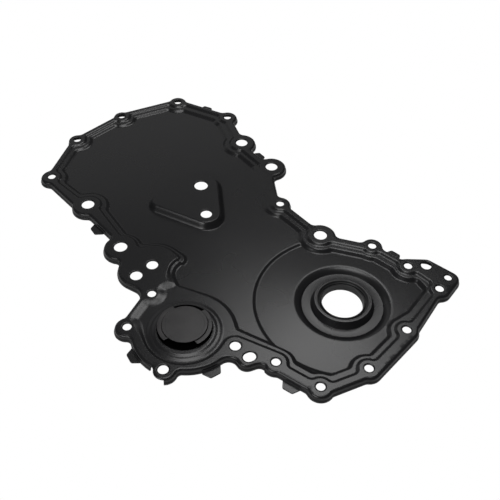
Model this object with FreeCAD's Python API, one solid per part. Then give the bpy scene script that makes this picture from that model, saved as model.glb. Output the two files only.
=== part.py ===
import FreeCAD
import Part
import os
from math import sin, cos, tan, atan2, radians, sqrt, pi

V = FreeCAD.Vector

# Sizes in mm. Origin on the crankshaft axis, at the middle of the seal lip's land.
# +Z points away from the engine, +Y from the crankshaft towards the camshafts.

# Sheet and levels, counted from the top face of the bolting flange
SHEET = 1.6
FLANGE_Z = 9.6
STEP_1_DROP = 2.0
PANEL_DROP = 4.5
EDGE_RADIUS = 3.0
EDGE_STEPS = 3
LIP_DEPTH = 8.0
STEP_1_RUN = 2.6
STEP_2_RUN = 3.6

# Bolt holes: place, diameter
SMALL_BOSS_HOLE = 9.0
LARGE_HOLE = 14.6
HOLE = {
    "s1": (114.8, -26.7), "s2": (-99.8, -36.2), "s3": (-209.3, 68.3), "s4": (-25.4, -83.3),
    "s5": (-7.2, 396.6), "s6": (70.6, 49.3), "s7": (-171.1, 96.7), "s8": (87.5, 6.6),
    "s9": (97.2, -34.8), "s10": (34.1, -62.7), "s11": (14.7, 155.5), "s12": (-76.8, -79.5),
    "s13": (-205.5, 323.3), "s14": (-154.9, 378.8), "s15": (37.0, 334.9), "s16": (-86.4, 400.7),
    "m1": (-198.0, 5.4), "m2": (-125.4, -1.7), "m3": (105.0, -2.1),
    "m4": (-154.9, 133.9), "m5": (-175.8, 127.5),
    "l1": (28.8, 89.8), "l2": (28.5, 278.0), "l3": (38.8, 218.9), "l4": (-175.1, 174.6),
    "l5": (-183.6, 256.3)}
HOLE_D = {"s1": 8.0, "m1": 10.6, "m2": 11.0, "m3": 11.2, "m4": 12.6, "m5": 13.0}
SLOT_AT = (-119.3, -19.5)
SLOT_WIDTH = 11.0
SLOT_LENGTH = 13.0

# Rim: radius of the outer edge, of step 1 and of step 2 round each kind of boss
EDGE_R_SMALL = 12.0
EDGE_R_LARGE = 17.4
STEP_1_R_SMALL = 10.8
STEP_1_R_LARGE = 15.0
STEP_2_R_SMALL = 17.5
STEP_2_R_LARGE = 22.5
EDGE_BLEND = 7.0
STEP_BLEND = 6.0

# Pump bulge and its cap
PUMP_AT = (-160.3, 39.0)
PUMP_NEAR_AT = (-156.0, 40.0)
PUMP_EDGE_R = 51.0
PUMP_FAR_EDGE_R = 53.0
PUMP_STEP_R = 41.0
PUMP_WALL_R = 50.8
PUMP_RING_1_R = 37.0
PUMP_RING_2_R = 32.5
PUMP_RING_RISE = 1.0
PUMP_RING_RUN = 1.6
CAP_HOLE_R = 20.5
CAP_FIT = 0.2
CAP_LAP = 3.5
CAP_WING_REACH = 3.2
CAP_TOP_R = CAP_HOLE_R + CAP_LAP
CAP_WING_R = CAP_TOP_R + CAP_WING_REACH
CAP_WING_HALF_ANGLE = 52.0
CAP_WING_TURN = -5.0
CAP_TOP_HEIGHT = 4.6
CAP_WING_HEIGHT = 3.4
CAP_WALL = 2.2
CAP_SKIRT_DEPTH = 8.0
CAP_BEAD = 0.9
CAP_RING_D = 2.4
CAP_RING_AT = 1.9
CAP_RING_TRIM = 0.6
CAP_DOME_RISE = 0.5

# Triangular pad with its two holes
PAD_RISE = 8.0
PAD_RUN = 4.5
PAD_CORNERS = [(-69.8, 177.5, 16.0), (-53.8, 223.5, 19.0), (-107.3, 220.5, 10.0)]
PAD_HOLES = [((-54.9, 222.8), 16.0), ((-70.8, 175.6), 13.0)]

# Crank seal, and the collar that is drawn up round it
SHAFT_R = 22.0
SEAL_SECTION = 6.0
LIP_PRESS = 0.25
CASE_WALL = 1.0
SEAL_WIDTH = 8.4
CASE_FOOT = 4.4
RUBBER_SKIN = 0.6
SPRING_WIRE = 1.6
SPRING_AT = 2.7
SEAL_SUNK = 0.6
COLLAR_OUT_R = SHAFT_R + SEAL_SECTION + SHEET
COLLAR_RISE = 8.0
COLLAR_FLARE = 1.2
COLLAR_FOOT = 4.0
LEDGE_R = COLLAR_OUT_R + COLLAR_FOOT

# Crank disc and moat. The turned middle joins the pressed disc at JOIN_R
DISC_R = 93.0
DISC_RUN = 3.0
DISC_DROP = 1.6
CONE_RISE = 1.4
MOAT_R = 49.0
MOAT_DEPTH = 4.8
MOAT_RUN = 4.4
JOIN_MARGIN = 3.0
JOIN_R = MOAT_R + JOIN_MARGIN

# Tabs on the foot of the lip
TAB_BASE = 20.0
TAB_TIP = 11.0
TAB_OUT = 8.5
TAB_OUT_FAR = 10.0

# Lug with no lip, as angles round its hole
BARE_FROM = 136.0
BARE_TO = 247.0
BARE_REACH = 17.0

BASE_Z = -40.0


def at(name):
    return HOLE[name]


def rim_circles(items, side):
    """Signed circles of a rim line, counter-clockwise.
    Side +1 is the outer edge, side -1 the edge of a pocket."""
    out = []
    n = len(items)
    for i in range(n):
        kind = items[i][0]
        if kind == "boss":
            x, y = at(items[i][1])
            out.append((x, y, side * items[i][2]))
        elif kind == "arc":
            out.append(items[i][1:4])
        else:
            a = centre_and_radius(items[i - 1])
            b = centre_and_radius(items[(i + 1) % n])
            dx = b[0] - a[0]
            dy = b[1] - a[1]
            dist = sqrt(dx * dx + dy * dy)
            ux = dx / dist
            uy = dy / dist
            nx = side * uy
            ny = -side * ux
            rf = items[i][2]
            if kind == "web":
                w = items[i][1] + rf
                sa = sqrt((a[2] + rf) ** 2 - w * w)
                sb = sqrt((b[2] + rf) ** 2 - w * w)
                out.append((a[0] + ux * sa + nx * w, a[1] + uy * sa + ny * w, -side * rf))
                out.append((b[0] - ux * sb + nx * w, b[1] - uy * sb + ny * w, -side * rf))
            else:
                ra = a[2] + rf
                rb = b[2] + rf
                s = (dist * dist + ra * ra - rb * rb) / (2 * dist)
                h = sqrt(ra * ra - s * s)
                out.append((a[0] + ux * s + nx * h, a[1] + uy * s + ny * h, -side * rf))
    return out


def centre_and_radius(item):
    if item[0] == "boss":
        x, y = at(item[1])
        return (x, y, item[2])
    return (item[1], item[2], abs(item[3]))


def line_normal(a, b):
    dx = b[0] - a[0]
    dy = b[1] - a[1]
    dist = sqrt(dx * dx + dy * dy)
    k = max(-1.0, min(1.0, (a[2] - b[2]) / dist))
    m = sqrt(1.0 - k * k)
    return (dx / dist * k + dy / dist * m, dy / dist * k - dx / dist * m)


def belt_wire(circles, grow, z):
    """Closed line that runs round the signed circles like a belt, at height z."""
    n = len(circles)
    normals = [line_normal(circles[i], circles[(i + 1) % n]) for i in range(n)]
    arcs = []
    for i in range(n):
        x, y, r = circles[i]
        r = r + grow
        n_in = normals[i - 1]
        n_out = normals[i]
        a0 = atan2(n_in[1], n_in[0])
        a1 = atan2(n_out[1], n_out[0])
        sweep = (a1 - a0) % (2 * pi)
        if circles[i][2] < 0:
            sweep = sweep - 2 * pi
        if abs(sweep) > 2 * pi - 0.001:
            sweep = 0.0
        arcs.append((x, y, r, a0, sweep))
    edges = []
    for i in range(n):
        x, y, r, a0, sweep = arcs[i]
        p0 = V(x + r * cos(a0), y + r * sin(a0), z)
        pm = V(x + r * cos(a0 + sweep / 2), y + r * sin(a0 + sweep / 2), z)
        p1 = V(x + r * cos(a0 + sweep), y + r * sin(a0 + sweep), z)
        if edges:
            p0 = last
        xj, yj, rj, aj, sj = arcs[(i + 1) % n]
        q = V(xj + rj * cos(aj), yj + rj * sin(aj), z)
        if i == n - 1:
            q = first
        if not edges:
            first = p0
        touching = (q - p1).Length < 0.02
        if touching:
            p1 = q
        edges.append(Part.Arc(p0, pm, p1).toShape())
        if not touching:
            edges.append(Part.LineSegment(p1, q).toShape())
        last = q
    return Part.Wire(edges)


def prism(circles, grow, z0, z1):
    face = Part.Face(belt_wire(circles, grow, z0))
    return face.extrude(V(0, 0, z1 - z0))


def taper(circles, grow0, z0, grow1, z1):
    """Solid with straight tapered walls between two offsets of one line."""
    low = belt_wire(circles, grow0, z0)
    high = belt_wire(circles, grow1, z1)
    return Part.makeLoft([low, high], True, True)


def revolve(points, centre=(0.0, 0.0)):
    pts = [V(r + centre[0], centre[1], z) for r, z in points]
    face = Part.Face(Part.makePolygon(pts + [pts[0]]))
    return face.revolve(V(centre[0], centre[1], 0), V(0, 0, 1), 360)


def cylinder(centre, r, z0, z1):
    return Part.makeCylinder(r, z1 - z0, V(centre[0], centre[1], z0))


def side_shift(run, drop):
    """How far a crease moves sideways on the back of the sheet."""
    return SHEET * tan(atan2(drop, run) / 2)


# Outer edge of the cover
px, py = PUMP_AT
OUTER = rim_circles([
    ("arc", *PUMP_NEAR_AT, PUMP_EDGE_R),
    ("arc", -141.9, -19.5, -10.0), ("arc", -122.3, -20.0, 9.5), ("arc", -118.3, -37.5, -7.5),
    ("boss", "s2", EDGE_R_SMALL), ("web", 9.3, EDGE_BLEND), ("boss", "s12", 12.5),
    ("web", 10.0, EDGE_BLEND), ("boss", "s4", 12.5), ("boss", "s10", 12.3),
    ("arc", 50.5, -72.9, -7.0), ("arc", 89.7, -52.2, -7.0),
    ("boss", "s9", EDGE_R_SMALL), ("arc", 115.2, -27.8, 11.0),
    ("boss", "m3", 10.5), ("boss", "s8", 11.5), ("web", 4.0, EDGE_BLEND), ("boss", "s6", 11.5),
    ("web", 2.5, EDGE_BLEND), ("boss", "l1", EDGE_R_LARGE), ("web", 4.8, EDGE_BLEND),
    ("boss", "s11", EDGE_R_SMALL), ("web", -0.5, EDGE_BLEND), ("boss", "l3", EDGE_R_LARGE),
    ("web", 0.5, EDGE_BLEND), ("boss", "l2", EDGE_R_LARGE), ("web", 4.4, EDGE_BLEND),
    ("boss", "s15", 12.5), ("web", 6.7, EDGE_BLEND), ("boss", "s5", 11.5),
    ("web", 7.5, EDGE_BLEND), ("boss", "s16", 10.3), ("web", 6.0, EDGE_BLEND),
    ("boss", "s14", 10.8), ("web", 7.0, EDGE_BLEND), ("boss", "s13", 12.8),
    ("arc", -217.0, 307.2, -7.0), ("arc", -206.6, 266.0, -7.0), ("boss", "l5", 18.0),
    ("arc", -194.4, 233.8, -7.0), ("arc", -183.9, 196.4, -5.0), ("boss", "l4", 18.5),
    ("neck", 0, 6.0), ("arc", -167.3, 134.5, 25.0),
    ("arc", -193.1, 105.8, -12.0), ("arc", -208.9, 87.8, -7.0),
    ("boss", "s3", 12.6), ("neck", 0, 6.0),
    ("arc", px, py, PUMP_FAR_EDGE_R), ("neck", 0, 4.0), ("arc", -197.0, 4.5, 11.5),
    ("neck", 0, 6.0)], 1)

# Line of the first, shallow step. It takes in the pump bulge
STEP_1 = rim_circles([
    ("boss", "m2", 12.2), ("boss", "s2", 11.5),
    ("web", 2.2, STEP_BLEND), ("boss", "s12", STEP_1_R_SMALL), ("web", 0.0, STEP_BLEND),
    ("boss", "s4", STEP_1_R_SMALL), ("web", 1.0, STEP_BLEND), ("boss", "s10", STEP_1_R_SMALL),
    ("web", 1.5, STEP_BLEND), ("boss", "s9", 10.6), ("arc", 90.6, -21.8, 4.0),
    ("arc", 86.6, -8.2, 4.0), ("boss", "s8", STEP_1_R_SMALL), ("web", 3.2, STEP_BLEND),
    ("boss", "s6", STEP_1_R_SMALL), ("web", 7.5, STEP_BLEND), ("boss", "l1", STEP_1_R_LARGE),
    ("web", 4.0, STEP_BLEND), ("boss", "s11", STEP_1_R_SMALL), ("boss", "l3", STEP_1_R_LARGE),
    ("web", 9.0, STEP_BLEND), ("boss", "l2", STEP_1_R_LARGE), ("web", 6.2, STEP_BLEND),
    ("boss", "s15", STEP_1_R_SMALL), ("web", 1.0, STEP_BLEND), ("boss", "s5", STEP_1_R_SMALL),
    ("web", 0.0, STEP_BLEND), ("boss", "s16", STEP_1_R_SMALL), ("web", 1.5, STEP_BLEND),
    ("boss", "s14", STEP_1_R_SMALL), ("web", 0.0, STEP_BLEND), ("boss", "s13", STEP_1_R_SMALL),
    ("web", 0.0, STEP_BLEND), ("boss", "l5", STEP_1_R_LARGE), ("web", 8.0, STEP_BLEND),
    ("boss", "l4", 18.0), ("neck", 0, STEP_BLEND), ("arc", -153.7, 135.6, -27.5),
    ("arc", -128.5, 132.5, -4.0), ("arc", -122.3, 106.5, 23.5), ("arc", -148.5, 103.5, -3.0),
    ("arc", -155.3, 95.5, 5.0), ("boss", "s7", STEP_1_R_SMALL), ("web", 0.0, STEP_BLEND),
    ("boss", "s3", STEP_1_R_SMALL), ("arc", px, py, PUMP_STEP_R)], -1)

# Line of the second step, down to the main panel
STEP_2 = rim_circles([
    ("arc", px, py, -PUMP_WALL_R), ("arc", -107.9, 17.9, 5.0), ("boss", "s2", 18.4),
    ("web", 10.8, STEP_BLEND),
    ("boss", "s12", STEP_2_R_SMALL), ("web", 9.5, STEP_BLEND), ("boss", "s4", STEP_2_R_SMALL),
    ("web", 9.0, STEP_BLEND), ("boss", "s10", STEP_2_R_SMALL), ("arc", 49.4, -37.3, 6.0),
    ("arc", 79.8, -23.3, 6.0), ("arc", 80.8, -14.9, 5.0), ("boss", "s8", STEP_2_R_SMALL),
    ("web", 13.1, STEP_BLEND),
    ("boss", "s6", STEP_2_R_SMALL), ("web", 16.0, STEP_BLEND), ("boss", "l1", STEP_2_R_LARGE),
    ("web", 11.9, STEP_BLEND), ("boss", "s11", STEP_2_R_SMALL), ("boss", "l3", STEP_2_R_LARGE),
    ("web", 16.3, STEP_BLEND), ("boss", "l2", STEP_2_R_LARGE), ("web", 15.2, STEP_BLEND),
    ("boss", "s15", STEP_2_R_SMALL), ("web", 10.6, STEP_BLEND), ("boss", "s5", STEP_2_R_SMALL),
    ("web", 7.0, STEP_BLEND), ("boss", "s16", STEP_2_R_SMALL), ("web", 6.8, STEP_BLEND),
    ("boss", "s14", STEP_2_R_SMALL), ("web", 6.2, STEP_BLEND), ("boss", "s13", STEP_2_R_SMALL),
    ("web", 6.4, STEP_BLEND), ("boss", "l5", STEP_2_R_LARGE), ("web", 15.0, STEP_BLEND),
    ("boss", "l4", 22.5), ("neck", 0, STEP_BLEND), ("arc", -153.7, 135.6, -32.5),
    ("arc", -127.0, 131.5, -9.0), ("arc", -122.3, 106.5, 18.5), ("arc", -138.6, 97.5, 3.0)], -1)


def sheet_volume(back):
    """All that lies under the front of the sheet, or under its back."""
    low = SHEET if back else 0.0
    shift_1 = side_shift(STEP_1_RUN, STEP_1_DROP) if back else 0.0
    shift_2 = side_shift(STEP_2_RUN, PANEL_DROP - STEP_1_DROP) if back else 0.0
    shift_pad = side_shift(PAD_RUN, PAD_RISE) if back else 0.0
    bend = EDGE_RADIUS - low
    wires = [belt_wire(OUTER, -low, BASE_Z)]
    for i in range(EDGE_STEPS + 1):
        a = i * pi / 2 / EDGE_STEPS
        wires.append(belt_wire(OUTER, -low - bend * (1 - cos(a)), -EDGE_RADIUS + bend * sin(a)))
    body = Part.makeLoft(wires, True, True)

    half = STEP_1_RUN / 2
    over = 0.5
    slope = STEP_1_RUN / STEP_1_DROP
    pocket = taper(STEP_1, shift_1 - half, -STEP_1_DROP - low,
                   shift_1 + half + over * slope, over - low)
    body = body.cut(pocket)

    half = STEP_2_RUN / 2
    slope = STEP_2_RUN / (PANEL_DROP - STEP_1_DROP)
    pocket = taper(STEP_2, shift_2 - half, -PANEL_DROP - low,
                   shift_2 + half + over * slope, over - STEP_1_DROP - low)
    body = body.cut(pocket)

    deep = PANEL_DROP + DISC_DROP + 0.6
    pocket = taper(STEP_2, shift_2 - half - (deep - PANEL_DROP) * slope, -deep - low,
                   shift_2 - half + 0.2 * slope, 0.2 - PANEL_DROP - low)
    disc_shift = side_shift(DISC_RUN, DISC_DROP) if back else 0.0
    z0 = -PANEL_DROP - low
    steep = DISC_DROP / DISC_RUN
    middle = JOIN_R - 8.0
    disc = revolve([(0.0, z0 + 0.3), (DISC_R + disc_shift + 0.3 / steep, z0 + 0.3),
                    (DISC_R + disc_shift - DISC_RUN, z0 - DISC_DROP),
                    (middle, disc_height(middle) - low), (0.0, disc_height(middle) - low)])
    body = body.cut(disc.common(pocket))

    pad = taper(PAD_CORNERS, PAD_RUN - shift_pad, -PANEL_DROP - low,
                -shift_pad, PAD_RISE - PANEL_DROP - low)
    foot = prism(PAD_CORNERS, PAD_RUN - shift_pad, -PANEL_DROP - low - 1.0, -PANEL_DROP - low)
    body = body.fuse(pad.fuse(foot))

    z1 = -STEP_1_DROP - low
    ring_shift = side_shift(PUMP_RING_RUN, PUMP_RING_RISE) if back else 0.0
    rings = revolve([(0.0, z1 - 1.0), (PUMP_RING_1_R - ring_shift, z1 - 1.0),
                     (PUMP_RING_1_R - ring_shift, z1),
                     (PUMP_RING_1_R - ring_shift - PUMP_RING_RUN, z1 + PUMP_RING_RISE),
                     (PUMP_RING_2_R - ring_shift, z1 + PUMP_RING_RISE),
                     (PUMP_RING_2_R - ring_shift - PUMP_RING_RUN, z1 + 2 * PUMP_RING_RISE),
                     (0.0, z1 + 2 * PUMP_RING_RISE)], PUMP_AT)
    return body.fuse(rings)


def disc_height(r):
    """Front of the shallow cone round the crankshaft, from its rim to the moat."""
    outer = DISC_R - DISC_RUN
    share = (outer - r) / (outer - MOAT_R)
    return -PANEL_DROP - DISC_DROP + CONE_RISE * share


def crank_ring():
    """Moat, ledge and drawn collar, as one turned section of the sheet."""
    moat_top = disc_height(MOAT_R)
    ledge = moat_top - MOAT_DEPTH
    shift = side_shift(MOAT_RUN, MOAT_DEPTH)
    top = ledge + COLLAR_RISE
    bore = COLLAR_OUT_R - SHEET
    return revolve([
        (JOIN_R, disc_height(JOIN_R)), (MOAT_R, moat_top), (MOAT_R - MOAT_RUN, ledge),
        (LEDGE_R, ledge), (COLLAR_OUT_R + COLLAR_FLARE, ledge + 1.6),
        (COLLAR_OUT_R, ledge + 3.6), (COLLAR_OUT_R, top - 0.5), (COLLAR_OUT_R - 0.5, top),
        (bore, top), (bore, ledge + 1.2), (bore + 1.0, ledge - 0.4),
        (LEDGE_R - 1.2, ledge - SHEET), (MOAT_R - MOAT_RUN + shift, ledge - SHEET),
        (MOAT_R + shift, moat_top - SHEET), (JOIN_R, disc_height(JOIN_R) - SHEET)])


def tab(x, y, angle, out=TAB_OUT):
    """Flat tab on the foot of the lip, pointing outwards at the given angle."""
    z = -LIP_DEPTH
    half = TAB_BASE / 2
    tip = TAB_TIP / 2
    root = SHEET
    pts = [V(-root, -half, 0), V(0, -half, 0), V(out, -tip, 0), V(out, tip, 0),
           V(0, half, 0), V(-root, half, 0)]
    body = Part.Face(Part.makePolygon(pts + [pts[0]])).extrude(V(0, 0, SHEET))
    corners = [e for e in body.Edges
               if abs(e.BoundBox.XMax - out) < 0.01 and e.BoundBox.ZLength > SHEET / 2
               and e.BoundBox.XLength < 0.01 and e.BoundBox.YLength < 0.01]
    body = body.makeFillet(2.5, corners)
    body.rotate(V(0, 0, 0), V(0, 0, 1), angle)
    body.translate(V(x, y, z))
    return body


def web_tab(a, b, offset, along, out=TAB_OUT):
    """Tab on the straight edge between two bosses."""
    ax, ay = at(a)
    bx, by = at(b)
    dist = sqrt((bx - ax) ** 2 + (by - ay) ** 2)
    ux = (bx - ax) / dist
    uy = (by - ay) / dist
    x = ax + ux * along + uy * offset
    y = ay + uy * along - ux * offset
    return tab(x, y, atan2(-ux, uy) * 180 / pi, out)


def pump_tab(angle, edge_r):
    a = radians(angle)
    return tab(px + (edge_r - 0.6) * cos(a), py + (edge_r - 0.6) * sin(a), angle)


def bare_sector():
    """The space under the flat lug, where the lip is left out."""
    x, y = at("m1")
    height = FLANGE_Z
    sector = Part.makeCylinder(BARE_REACH, height, V(x, y, -SHEET - height), V(0, 0, 1),
                               BARE_TO - BARE_FROM)
    sector.rotate(V(x, y, 0), V(0, 0, 1), BARE_FROM)
    return sector


def build_cover():
    front = sheet_volume(False)
    back = sheet_volume(True)
    sheet = front.cut(back)

    # The lip ends at its foot, and only the middle goes deeper
    below = Part.makeBox(700, 800, 60, V(-400, -250, -LIP_DEPTH - 60))
    sheet = sheet.cut(below.cut(prism(STEP_2, 0.0, BASE_Z - 30, 0)))

    # The lug by the pump is flat, with no lip round it
    sheet = sheet.cut(bare_sector())

    # Tabs
    tabs = [web_tab("s2", "s12", 9.3, 24.0), web_tab("s8", "s6", 4.0, 23.0, TAB_OUT_FAR),
            web_tab("l3", "l2", 0.5, 31.0, TAB_OUT_FAR),
            web_tab("s15", "s5", 6.7, 38.0, TAB_OUT_FAR),
            web_tab("l5", "l4", 4.5, 37.0),
            pump_tab(182.5, PUMP_FAR_EDGE_R), pump_tab(275.0, PUMP_EDGE_R)]
    for t in tabs:
        sheet = sheet.fuse(t)

    # Crank middle
    sheet = sheet.cut(cylinder((0, 0), JOIN_R, BASE_Z, 10)).fuse(crank_ring())

    # Holes
    drills = []
    for name in HOLE:
        d = HOLE_D.get(name, LARGE_HOLE if name[0] == "l" else SMALL_BOSS_HOLE)
        drills.append(cylinder(at(name), d / 2, -LIP_DEPTH, 5))
    for place, d in PAD_HOLES:
        drills.append(cylinder(place, d / 2, -LIP_DEPTH, 10))
    drills.append(cylinder(PUMP_AT, CAP_HOLE_R, -12, 10))
    x, y = SLOT_AT
    off = (SLOT_LENGTH - SLOT_WIDTH) / 2
    slot = cylinder((x - off, y), SLOT_WIDTH / 2, -LIP_DEPTH, 5)
    slot = slot.fuse(cylinder((x + off, y), SLOT_WIDTH / 2, -LIP_DEPTH, 5))
    slot = slot.fuse(Part.makeBox(2 * off, SLOT_WIDTH, 5 + LIP_DEPTH,
                                  V(x - off, y - SLOT_WIDTH / 2, -LIP_DEPTH)))
    drills.append(slot)
    for d in drills:
        sheet = sheet.cut(d)
    return sheet.removeSplitter()


def seal_levels():
    ledge = disc_height(MOAT_R) - MOAT_DEPTH
    top = ledge + COLLAR_RISE - SEAL_SUNK
    return top - SEAL_WIDTH, top


def build_seal_case():
    low, top = seal_levels()
    out = COLLAR_OUT_R - SHEET - RUBBER_SKIN
    inner = out - CASE_WALL
    foot = SHAFT_R + CASE_FOOT
    return revolve([(out, low + 0.6), (out, top - 1.0), (inner, top - 1.0),
                    (inner, low + 0.6 + CASE_WALL), (foot, low + 0.6 + CASE_WALL), (foot, low + 0.6)])


def build_seal_rubber():
    low, top = seal_levels()
    out = COLLAR_OUT_R - SHEET
    case_out = out - RUBBER_SKIN
    case_in = case_out - CASE_WALL
    lip = SHAFT_R - LIP_PRESS
    body = revolve([
        (out, low), (out, top), (case_in - 0.9, top), (case_in - 1.3, top - 3.6),
        (lip + 2.6, top - 4.2), (lip + 0.5, top - 1.9), (lip, top - 2.2),
        (lip + 1.1, top - 5.4), (lip, top - 6.9), (lip, top - 8.1),
        (lip + 0.8, low), (lip + 1.9, low), (lip + 1.9, low + 0.9), (lip + 2.7, low + 2.0),
        (lip + 3.6, low + 2.0), (lip + 3.6, low)])
    return body.cut(build_seal_case()).cut(build_spring())


def build_spring():
    low, top = seal_levels()
    return Part.makeTorus(SHAFT_R + SPRING_AT, SPRING_WIRE / 2, V(0, 0, low + 0.9), V(0, 0, 1))


def wing_sector(r, z0, z1, turn):
    """Two opposite sectors of a disc."""
    out = None
    for side in (0, 180):
        a0 = radians(turn + side - CAP_WING_HALF_ANGLE)
        a1 = radians(turn + side + CAP_WING_HALF_ANGLE)
        am = radians(turn + side)
        p = [V(px + r * cos(a), py + r * sin(a), z0) for a in (a0, am, a1)]
        c = V(px, py, z0)
        face = Part.Face(Part.Wire([Part.Arc(p[0], p[1], p[2]).toShape(),
                                    Part.LineSegment(p[2], c).toShape(),
                                    Part.LineSegment(c, p[0]).toShape()]))
        solid = face.extrude(V(0, 0, z1 - z0))
        out = solid if out is None else out.fuse(solid)
    return out


def cap_seat():
    return -STEP_1_DROP + 2 * PUMP_RING_RISE


def build_cap():
    seat = cap_seat()
    top = seat + CAP_TOP_HEIGHT
    skirt = CAP_HOLE_R - CAP_FIT
    under = seat - SHEET
    groove = CAP_RING_D * 0.72
    body = revolve([
        (0.0, top + CAP_DOME_RISE), (CAP_TOP_R - 3.0, top + 0.3), (CAP_TOP_R - 0.8, top),
        (CAP_TOP_R, top - 0.8), (CAP_TOP_R, seat),
        (skirt, seat), (skirt, under - 0.1), (skirt + CAP_BEAD, under - 0.1),
        (skirt + CAP_BEAD, under - 1.0), (skirt, under - 2.6), (skirt, under - CAP_SKIRT_DEPTH),
        (skirt - CAP_WALL, under - CAP_SKIRT_DEPTH), (skirt - CAP_WALL, top - CAP_WALL),
        (0.0, top - CAP_WALL)], PUMP_AT)
    wings = wing_sector(CAP_WING_R, seat, seat + CAP_WING_HEIGHT, CAP_WING_TURN)
    body = body.fuse(wings.cut(cylinder(PUMP_AT, CAP_TOP_R - 1.0, seat - 1, top + 3)))
    body = body.cut(ring_groove(groove))
    return body.removeSplitter()


def ring_radii():
    middle = CAP_HOLE_R + CAP_RING_AT
    return middle - CAP_RING_D / 2, middle + CAP_RING_D / 2 - CAP_RING_TRIM


def ring_groove(depth):
    """Groove under the cap's rim where the rubber ring sits."""
    seat = cap_seat()
    inner, outer = ring_radii()
    return revolve([(inner, seat - 0.01), (inner, seat + depth), (outer, seat + depth),
                    (outer, seat - 0.01)], PUMP_AT)


def build_cap_ring():
    seat = cap_seat()
    depth = CAP_RING_D * 0.72
    e = 0.35
    a, b = ring_radii()
    return revolve([(a + e, seat), (a, seat + e), (a, seat + depth - e), (a + e, seat + depth),
                    (b - e, seat + depth), (b, seat + depth - e), (b, seat + e), (b - e, seat)], PUMP_AT)


def main():
    os.makedirs("parts", exist_ok=True)
    nodes = {
        "cover_pressing": build_cover(),
        "seal_case": build_seal_case(),
        "seal_rubber": build_seal_rubber(),
        "garter_spring": build_spring(),
        "access_cap": build_cap(),
        "cap_ring": build_cap_ring()}
    for name, shape in nodes.items():
        shape.translate(V(0, 0, FLANGE_Z))
        if shape.ShapeType == "Compound" and len(shape.Solids) == 1:
            shape = shape.Solids[0]
        shape.exportStep("parts/" + name + ".step")
        box = shape.BoundBox
        print(name, "solids", len(shape.Solids), "valid", shape.isValid(), "volume", round(shape.Volume),
              "x", round(box.XMin, 1), round(box.XMax, 1), "y", round(box.YMin, 1), round(box.YMax, 1),
              "z", round(box.ZMin, 2), round(box.ZMax, 2))


main()
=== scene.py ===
import bpy
import numpy as np
from math import sin, cos, atan2, sqrt, pi, radians, degrees, ceil
from mathutils import Vector, Matrix
from mathutils.geometry import delaunay_2d_cdt


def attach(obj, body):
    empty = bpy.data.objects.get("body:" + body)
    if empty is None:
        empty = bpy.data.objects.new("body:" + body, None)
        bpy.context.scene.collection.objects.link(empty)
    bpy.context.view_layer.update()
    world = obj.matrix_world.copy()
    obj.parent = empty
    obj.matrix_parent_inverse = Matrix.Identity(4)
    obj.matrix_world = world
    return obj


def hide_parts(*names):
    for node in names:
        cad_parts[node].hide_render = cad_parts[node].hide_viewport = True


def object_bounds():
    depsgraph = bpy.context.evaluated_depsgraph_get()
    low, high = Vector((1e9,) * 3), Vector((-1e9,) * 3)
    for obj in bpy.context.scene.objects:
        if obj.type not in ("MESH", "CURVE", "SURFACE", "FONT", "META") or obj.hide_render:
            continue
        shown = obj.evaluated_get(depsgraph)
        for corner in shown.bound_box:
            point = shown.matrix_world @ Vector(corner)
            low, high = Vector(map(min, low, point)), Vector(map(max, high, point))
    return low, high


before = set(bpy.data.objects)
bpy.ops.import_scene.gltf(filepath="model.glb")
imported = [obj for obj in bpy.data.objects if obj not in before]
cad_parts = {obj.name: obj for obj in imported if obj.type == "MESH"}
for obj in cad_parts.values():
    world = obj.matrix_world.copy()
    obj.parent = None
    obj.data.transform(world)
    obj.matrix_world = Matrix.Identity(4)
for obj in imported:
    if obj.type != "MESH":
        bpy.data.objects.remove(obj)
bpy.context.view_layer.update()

# Lengths are in mm, in the frame of the part, and heights are from the face of the bolting flange
MM = 0.001
FLANGE_Z = 9.6
SHEET = 1.6

# Holes for bolts and pins: s small, m middle, l large
HOLE = {
    "s1": (114.8, -26.7), "s2": (-99.8, -36.2), "s3": (-209.3, 68.3), "s4": (-25.4, -83.3),
    "s5": (-7.2, 396.6), "s6": (70.6, 49.3), "s7": (-171.1, 96.7), "s8": (87.5, 6.6),
    "s9": (97.2, -34.8), "s10": (34.1, -62.7), "s11": (14.7, 155.5), "s12": (-76.8, -79.5),
    "s13": (-205.5, 323.3), "s14": (-154.9, 378.8), "s15": (37.0, 334.9), "s16": (-86.4, 400.7),
    "m1": (-198.0, 5.4), "m2": (-125.4, -1.7), "m3": (105.0, -2.1),
    "m4": (-154.9, 133.9), "m5": (-175.8, 127.5),
    "l1": (28.8, 89.8), "l2": (28.5, 278.0), "l3": (38.8, 218.9), "l4": (-175.1, 174.6),
    "l5": (-183.6, 256.3)}
SMALL_D = 9.0
LARGE_D = 14.6
OTHER_D = {"s1": 8.0, "m1": 10.6, "m2": 11.0, "m3": 11.2, "m4": 12.6, "m5": 13.0}
# Centre, end radius and half the straight length of the slot
SLOT = (-119.3, -19.5, 5.5, 1.0)
PAD_HOLES = [(-54.9, 222.8, 8.0), (-70.8, 175.6, 6.5)]
PAD_CORNERS = [(-69.8, 177.5, 16.0), (-53.8, 223.5, 19.0), (-107.3, 220.5, 10.0)]
PUMP = (-160.3, 39.0)
CAP_AT = (-159.1, 41.3)
CAP_BORE_R = 20.5

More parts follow.
